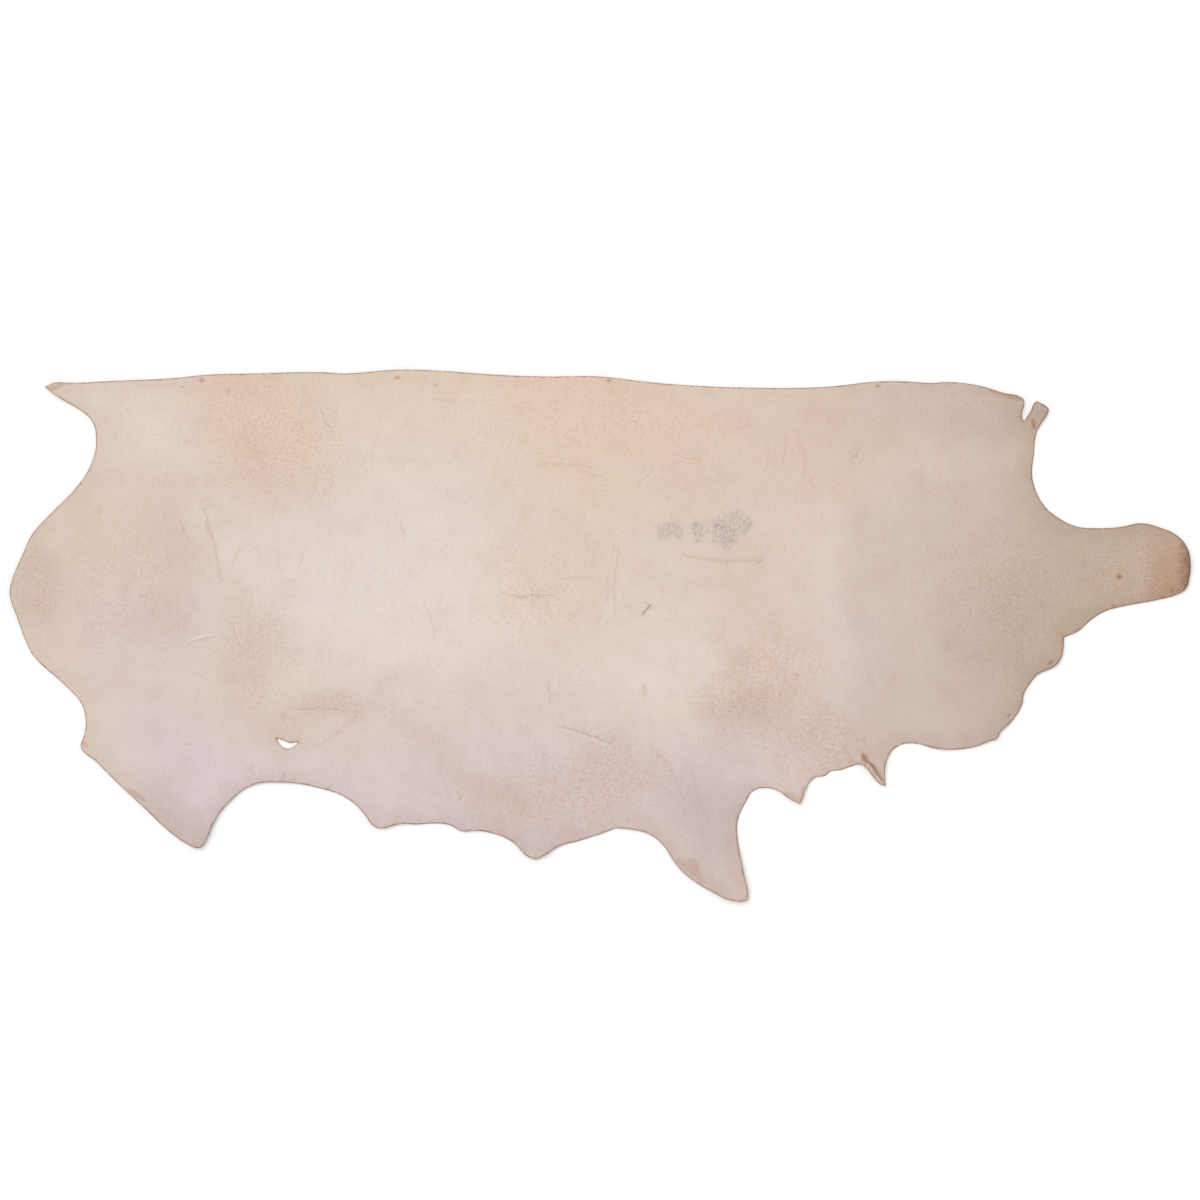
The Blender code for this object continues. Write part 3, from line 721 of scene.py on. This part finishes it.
class Paint:
    """A material on the Principled shader, with one method that adds any node."""

    def __init__(self, name):
        self.material = bpy.data.materials.new(name)
        self.material.use_nodes = True
        self.tree = self.material.node_tree
        self.shader = self.tree.nodes["Principled BSDF"]
        self.place = self.node("ShaderNodeTexCoord", output="Object")

    def feed(self, socket, value):
        if isinstance(value, Number):
            self.tree.links.new(value.socket, socket)
        else:
            socket.default_value = value

    def node(self, kind, settings=None, inputs=None, output=0):
        """Add a node, its settings first and then its sockets, and return one of its outputs."""
        made = self.tree.nodes.new(kind)
        for name, value in (settings or {}).items():
            setattr(made, name, value)
        for name, value in (inputs or {}).items():
            self.feed(made.inputs[name], value)
        return Number(self, made.outputs[output])

    def maths(self, operation, first, second):
        return self.node("ShaderNodeMath", {"operation": operation}, {0: first, 1: second})

    def vector(self, operation, first, second):
        return self.node("ShaderNodeVectorMath", {"operation": operation}, {0: first, 1: second})

    def scaled(self, vector, amount):
        return self.node("ShaderNodeVectorMath", {"operation": "SCALE"}, {0: vector, "Scale": amount})

    def attribute(self, name, output="Fac"):
        return self.node("ShaderNodeAttribute", {"attribute_name": name}, output=output)

    def parts(self, place):
        """Return a place's X and Y."""
        made = self.tree.nodes.new("ShaderNodeSeparateXYZ")
        self.feed(made.inputs[0], place)
        return Number(self, made.outputs["X"]), Number(self, made.outputs["Y"])

    def mix(self, share, first, second):
        """Mix two colours."""
        return self.node("ShaderNodeMix", {"data_type": "RGBA"}, {0: share, 6: first, 7: second}, output=2)

    def dyed(self, share, colour, dye):
        """Multiply a share of the colour by a dye."""
        return self.mix(share, colour, self.vector("MULTIPLY", colour, dye))

    def between(self, value, low, high):
        """Rise smoothly from 0 where the value is low to 1 where it is high, or fall if low is above high."""
        inputs = {"Value": value, "From Min": low, "From Max": high}
        return self.node("ShaderNodeMapRange", {"interpolation_type": "SMOOTHSTEP"}, inputs)

    def stretched(self, place, turn, across):
        """Return a place whose pattern is drawn out along the turn, by the given number of times."""
        inputs = {"Vector": place, "Rotation": (0.0, 0.0, math.radians(turn)), "Scale": (across, 1.0, 1.0)}
        return self.node("ShaderNodeMapping", {"vector_type": "TEXTURE"}, inputs)

    def noise(self, place, size, detail=2.0, roughness=0.5, output="Fac", dimensions="2D"):
        """Return noise whose patches are about the given size in millimetres."""
        inputs = {"Vector": place, "Scale": 1.0 / (size * MM), "Detail": detail, "Roughness": roughness}
        return self.node("ShaderNodeTexNoise", {"noise_dimensions": dimensions}, inputs, output)

    def cells(self, place, size):
        """Return the distance from the middle of the nearest of many scattered cells, in cells."""
        inputs = {"Vector": place, "Scale": 1.0 / (size * MM)}
        return self.node("ShaderNodeTexVoronoi", {"voronoi_dimensions": "2D"}, inputs, "Distance")

    def oval(self, place, zone, core):
        """Return 1 in the middle of a zone's soft oval and 0 outside it."""
        inputs = {
            "Vector": place,
            "Location": (zone.along * MM, zone.across * MM, 0.0),
            "Rotation": (0.0, 0.0, math.radians(zone.turn)),
            "Scale": (zone.length * MM, zone.width * MM, 1.0),
        }
        turned = self.node("ShaderNodeMapping", {"vector_type": "TEXTURE"}, inputs)
        reach = self.node("ShaderNodeVectorMath", {"operation": "LENGTH"}, {0: turned}, "Value")
        return 1.0 - self.between(reach, core, 1.0)

    def wavered(self, place, size, amount):
        """Return the place moved about by noise, so that a shape's outline wanders."""
        drift = self.noise(place, size, detail=3.0, output="Color")
        centred = self.vector("SUBTRACT", drift, (0.5, 0.5, 0.5))
        return self.vector("ADD", place, self.scaled(centred, amount * MM))

    def finish(self, colour, roughness, height, depth):
        """Wire up the shader: colour, roughness and a bump of the given depth in millimetres."""
        bump = self.node("ShaderNodeBump", None, {"Strength": 1.0, "Distance": depth * MM, "Height": height})
        self.feed(self.shader.inputs["Base Color"], colour)
        self.feed(self.shader.inputs["Roughness"], roughness)
        self.feed(self.shader.inputs["Normal"], bump)
        return self.material


def mottled(paint, place, colour):
    """Add the grain's clouds, streaks and specks, which are roughest where the flecks crowd."""
    rough = LEAST_ROUGH + MORE_ROUGH * paint.attribute("crowd")
    clouds = paint.noise(place, CLOUD_SIZE, detail=4.0, roughness=0.7)
    colour = paint.dyed(paint.between(clouds, *DARK_CLOUDS) * CLOUD_SHARE, colour, CLOUD_DYE)
    colour = paint.dyed(paint.between(clouds, *PALE_CLOUDS) * PALE_CLOUD_SHARE, colour, PALE_DYE)
    drawn_out = paint.stretched(place, STREAK_TURN, STREAK_STRETCH)
    streaks = paint.noise(drawn_out, STREAK_SIZE, detail=3.0, roughness=0.65)
    colour = paint.dyed(paint.between(streaks, *WARM_STREAKS) * rough, colour, PEACH_DYE)
    colour = paint.dyed(paint.between(streaks, *COOL_STREAKS) * rough, colour, COOL_DYE)
    specks = paint.noise(place, SPECK_SIZE, detail=3.0, roughness=0.8)
    colour = paint.dyed(paint.between(specks, *DARK_SPECKS) * rough, colour, SPECK_DYE)
    return paint.dyed(paint.between(specks, *PALE_SPECKS) * rough, colour, PALE_DYE)


def flecks(paint, place):
    """Return where small brown flecks show, thick in some places and rare in the rest."""
    dots = 1.0 - paint.between(paint.cells(place, FLECK_SIZE), *FLECK_ROUND)
    clusters = paint.noise(place, FLECK_CLUSTER, detail=4.0, roughness=0.85)
    return dots * paint.between(clusters, *FLECK_CHOICE) * paint.attribute("crowd")


def muzzled(paint, place, colour):
    """Add the russet chin and the dark end of the muzzle."""
    nose, nose_side = paint.parts(paint.wavered(place, *MUZZLE_WAVER))
    chin = paint.between(nose_side, *CHIN)
    russet = paint.between(nose, *RUSSET_MUZZLE) * (RUSSET_SHARE + RUSSET_CHIN_SHARE * chin)
    colour = paint.mix(russet, colour, RUSSET)
    return paint.mix(paint.between(nose, *DARK_MUZZLE) * DARK_MUZZLE_SHARE, colour, HEAD_BROWN)


def scuffed(paint, place):
    """Return the grey hatched scuffs on the shoulder."""
    wandering = paint.wavered(place, *SCUFF_WAVER)
    total = 0.0
    for scuff in SCUFFS:
        total = paint.maths("MAXIMUM", paint.oval(wandering, scuff, SCUFF_CORE) * scuff.strength, total)
    drawn_out = paint.stretched(paint.wavered(place, *HATCH_WAVER), HATCH_TURN, HATCH_STRETCH)
    hatch = paint.noise(drawn_out, HATCH_SIZE, detail=3.0, roughness=0.7)
    return total * (HATCH_LEAST + HATCH_MORE * paint.between(hatch, *HATCH_LINES))


def rimmed(paint, place, colour):
    """Darken the grain softly along the rim with its browner edge and painted shade, most at the head and
    belly, and sharply at the cut with the cut edge's colour and a painted shadow.
    """
    along, across = paint.parts(place)
    gap = paint.attribute("edge_gap")
    tatters = paint.noise(place, SHADE_RAGGED_SIZE, detail=3.0, roughness=0.7)
    ragged = gap + SHADE_RAGGED * (tatters - 0.5)
    # Painted shade with the browner edge, growing towards the head and belly where the light falls off
    away = paint.maths("MAXIMUM", paint.between(along, *HEADWARD), paint.between(across, *BELLYWARD))
    shade = (1.0 - paint.between(ragged, 0.0, SHADE_WIDTH)) * (SHADE_LEAST + SHADE_MORE * away)
    colour = paint.dyed(shade, colour, RIM_BROWN_AND_SHADE)
    # The cut line: the cut edge's own colour with a painted shadow
    line = gap + CUT_LINE_WAVER * (paint.noise(place, CUT_LINE_WAVER_SIZE) - 0.5)
    return paint.dyed((1.0 - paint.between(line, *CUT_LINE)) * CUT_LINE_SHARE, colour, CUT_LINE_BROWN_AND_SHADOW)


def grain_paint():
    """Undyed vegetable-tanned grain: fine pebbled pores, cloudy cream to tan, scars and flecks, with painted
    shade at the rim and towards the head.
    """
    paint = Paint("natural grain")
    place = paint.place
    colour = muzzled(paint, place, paint.attribute("tone", "Color"))
    colour = mottled(paint, place, colour)
    fleck = flecks(paint, place)
    scuff = scuffed(paint, place)
    colour = paint.dyed(fleck, colour, FLECK_DYE)
    colour = paint.mix(scuff * SCUFF_SHARE, colour, GREY_MARK)
    breaks = paint.noise(place, BREAK_SIZE, detail=2.0, roughness=0.7)
    broken = WHOLE_SHARE + BROKEN_SHARE * paint.between(breaks, *BREAKS)
    for name, mark_colour in FINISHES.items():
        colour = paint.mix(paint.attribute(name) * broken, colour, mark_colour)
    colour = rimmed(paint, place, colour)
    pores = paint.cells(place, PORE_SIZE)
    wrinkles = paint.noise(paint.wavered(place, *WRINKLE_WAVER), WRINKLE_SIZE, detail=4.0, roughness=0.65)
    height = PORE_HEIGHT * pores + WRINKLE_HEIGHT * wrinkles - FLECK_DIP * fleck
    roughness = GRAIN_ROUGHNESS + WRINKLE_ROUGHNESS * wrinkles
    return paint.finish(colour, roughness, height, GRAIN_DEPTH)


FLESH_TAN = tint(206, 188, 172)
FLESH_PALE = tint(222, 208, 195)
FLESH_SHADE = tint(180, 158, 138)
NAP_SIZE = 2.0
NAP_WAVER = (12, 8)
PALE_NAP = (0.55, 0.75)
PALE_NAP_SHARE = 0.45
NAP_HEIGHT = 0.7
STROKE_SIZE = 7
STROKE_WAVER = (90, 40)
STROKE_TURN = 20
STROKE_STRETCH = 6.0
DARK_STROKES = (0.50, 0.75)
DARK_STROKE_SHARE = 0.60
STROKE_HEIGHT = 0.5
FLESH_CLOUD_SIZE = 140
FLESH_CLOUDS = (0.35, 0.70)
FLESH_ROUGHNESS = 0.80
NAP_ROUGHNESS = 0.15
FLESH_DEPTH = 0.6


def flesh_paint():
    """The fuzzy underside: short nap, lighter loose fibres and shallow flaying strokes."""
    paint = Paint("suede flesh side")
    place = paint.place
    nap = paint.noise(paint.wavered(place, *NAP_WAVER), NAP_SIZE, detail=5.0, roughness=0.7)
    drawn_out = paint.stretched(paint.wavered(place, *STROKE_WAVER), STROKE_TURN, STROKE_STRETCH)
    strokes = paint.noise(drawn_out, STROKE_SIZE, detail=4.0, roughness=0.65)
    clouds = paint.noise(place, FLESH_CLOUD_SIZE, detail=4.0, roughness=0.6)
    colour = paint.mix(paint.between(clouds, *FLESH_CLOUDS), FLESH_TAN, FLESH_PALE)
    colour = paint.mix(paint.between(strokes, *DARK_STROKES) * DARK_STROKE_SHARE, colour, FLESH_SHADE)
    colour = paint.mix(paint.between(nap, *PALE_NAP) * PALE_NAP_SHARE, colour, FLESH_PALE)
    height = NAP_HEIGHT * nap + STROKE_HEIGHT * strokes
    return paint.finish(colour, FLESH_ROUGHNESS + NAP_ROUGHNESS * nap, height, FLESH_DEPTH)


CUT_PALE = tint(192, 156, 122)
CUT_DARK = tint(150, 112, 80)
FIBRE_SIZE = 3.0
FIBRE_LAYERS = (1.0, 1.0, 9.0)
PALE_FIBRES = (0.35, 0.70)
DARK_LENGTH = 60
DARK_LENGTHS = (0.50, 0.70)
DARK_LENGTH_SHARE = 0.50
CUT_ROUGHNESS = 0.70
FIBRE_ROUGHNESS = 0.15
CUT_DEPTH = 0.25


def cut_edge_paint():
    """The raw cut edge: pressed fibres in thin layers, tan to brown."""
    paint = Paint("raw cut edge")
    inputs = {"Vector": paint.place, "Scale": FIBRE_LAYERS}
    layered = paint.node("ShaderNodeMapping", {"vector_type": "POINT"}, inputs)
    fibres = paint.noise(layered, FIBRE_SIZE, detail=4.0, roughness=0.7, dimensions="3D")
    darker = paint.noise(paint.place, DARK_LENGTH, detail=3.0)
    colour = paint.mix(paint.between(fibres, *PALE_FIBRES), CUT_DARK, CUT_PALE)
    colour = paint.mix(paint.between(darker, *DARK_LENGTHS) * DARK_LENGTH_SHARE, colour, CUT_DARK)
    return paint.finish(colour, CUT_ROUGHNESS + FIBRE_ROUGHNESS * fibres, fibres, CUT_DEPTH)


def make_side():
    """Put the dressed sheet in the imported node's place."""
    mesh = dressed_mesh(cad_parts[NODE])
    for material in (grain_paint(), flesh_paint(), cut_edge_paint()):
        mesh.materials.append(material)
    side = bpy.data.objects.new("natural_leather_side", mesh)
    bpy.context.scene.collection.objects.link(side)
    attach(side, "root")
    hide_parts(NODE)
    return side


FLOOR_SIZE = 30.0
FLOOR_GAP = 0.0003
FLOOR_WHITE = (0.96, 0.96, 0.96, 1.0)
FLOOR_ROUGHNESS = 0.9
SKY_STRENGTH = 0.73
SUN_STRENGTH = 1.25
SUN_SPREAD = 50.0
SUN_TILT = (-20.0, -20.0, 0.0)
CAMERA_HEIGHT = 9.0
VIEW_WIDTH = 2.52
VIEW_MIDDLE = (-0.25, 74.75)
SENSOR = 36.0
FAR_CLIP = 100.0


def make_floor():
    """Lay a plain white floor just under the side."""
    work = bmesh.new()
    bmesh.ops.create_grid(work, x_segments=1, y_segments=1, size=FLOOR_SIZE / 2)
    bmesh.ops.translate(work, vec=(0.0, 0.0, -FLOOR_GAP), verts=work.verts)
    mesh = bpy.data.meshes.new("floor")
    work.to_mesh(mesh)
    work.free()
    paint = Paint("floor white")
    paint.feed(paint.shader.inputs["Base Color"], FLOOR_WHITE)
    paint.feed(paint.shader.inputs["Roughness"], FLOOR_ROUGHNESS)
    paint.feed(paint.shader.inputs["Specular IOR Level"], 0.0)
    mesh.materials.append(paint.material)
    floor = bpy.data.objects.new("floor", mesh)
    bpy.context.scene.collection.objects.link(floor)
    return floor


def make_light():
    """Light the studio softly: an even white sky and a wide lamp from the upper left."""
    world = bpy.data.worlds.new("white studio")
    world.use_nodes = True
    sky = world.node_tree.nodes["Background"]
    sky.inputs["Color"].default_value = (1.0, 1.0, 1.0, 1.0)
    sky.inputs["Strength"].default_value = SKY_STRENGTH
    bpy.context.scene.world = world
    data = bpy.data.lights.new("wide lamp", "SUN")
    data.energy = SUN_STRENGTH
    data.angle = math.radians(SUN_SPREAD)
    lamp = bpy.data.objects.new("wide lamp", data)
    lamp.rotation_euler = [math.radians(turn) for turn in SUN_TILT]
    bpy.context.scene.collection.objects.link(lamp)


def make_camera():
    """Look straight down on the side, as wide as the photograph shows."""
    data = bpy.data.cameras.new("camera")
    data.sensor_width = SENSOR
    data.lens = SENSOR * CAMERA_HEIGHT / VIEW_WIDTH
    data.clip_end = FAR_CLIP
    camera = bpy.data.objects.new("camera", data)
    camera.location = (VIEW_MIDDLE[0] * MM, VIEW_MIDDLE[1] * MM, CAMERA_HEIGHT)
    bpy.context.scene.collection.objects.link(camera)
    bpy.context.scene.camera = camera


def main():
    noise.seed_set(NOISE_SEED)
    make_camera()
    make_light()
    floor = make_floor()
    side = make_side()
    bpy.context.scene.view_settings.view_transform = "Standard"


main()
